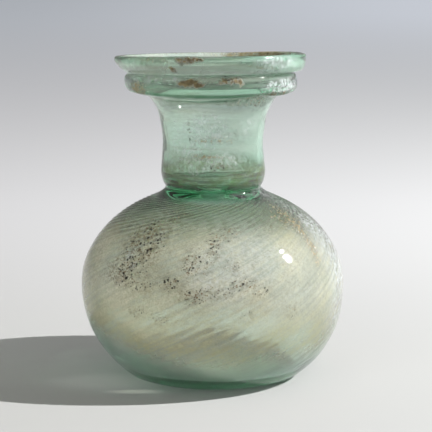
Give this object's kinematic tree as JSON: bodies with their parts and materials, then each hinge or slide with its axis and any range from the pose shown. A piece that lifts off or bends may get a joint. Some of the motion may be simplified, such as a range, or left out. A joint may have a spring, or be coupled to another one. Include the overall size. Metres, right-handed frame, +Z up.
{
  "type": "glass perfume flask",
  "caption": "Round blown-glass perfume flask with twisted ribs, a narrow passage under its short neck, a rounded collar and a flaring lip; holds and drips scented oil.",
  "frame": {"origin": "middle of the flask's box, at the level its base stands on", "axes": "+Z up through the mouth; the side with most dark pitting and the rim's brown crusts faces -Y; the rim leans to -X and is highest on +X"},
  "size_m": [0.0728, 0.0726, 0.0902],
  "materials": {
    "weathered_glass": "pale green glass with fine bubbles, hazy beige weathering, dark pitting and brown crusts"
  },
  "bodies": {
    "root": {"flask": "weathered_glass"}
  },
  "joints": []
}
